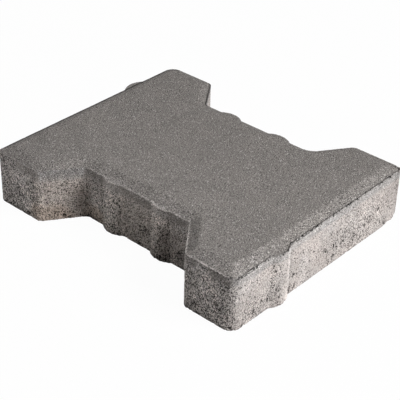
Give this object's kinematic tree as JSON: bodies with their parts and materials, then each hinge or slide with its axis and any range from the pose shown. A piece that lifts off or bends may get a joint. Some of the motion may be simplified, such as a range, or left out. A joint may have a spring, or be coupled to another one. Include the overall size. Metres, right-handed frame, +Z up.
{
  "type": "concrete paving stone",
  "caption": "I-shaped interlocking concrete paver with a chamfered wearing face and upright spacer nibs, laid on a sand bed as paving.",
  "frame": {"origin": "centre of the bed face, on the floor that the stone lies on", "axes": "+X along the flanges, +Y from one flange across the web to the other, +Z up from the bed to the wearing face"},
  "size_m": [0.162, 0.2038, 0.04],
  "materials": {
    "concrete": "dry pressed grey concrete, fine and smooth on the wearing face, coarser with pores and pinkish beige grains on the sides"
  },
  "bodies": {
    "root": {"paving_stone": "concrete"}
  },
  "joints": []
}
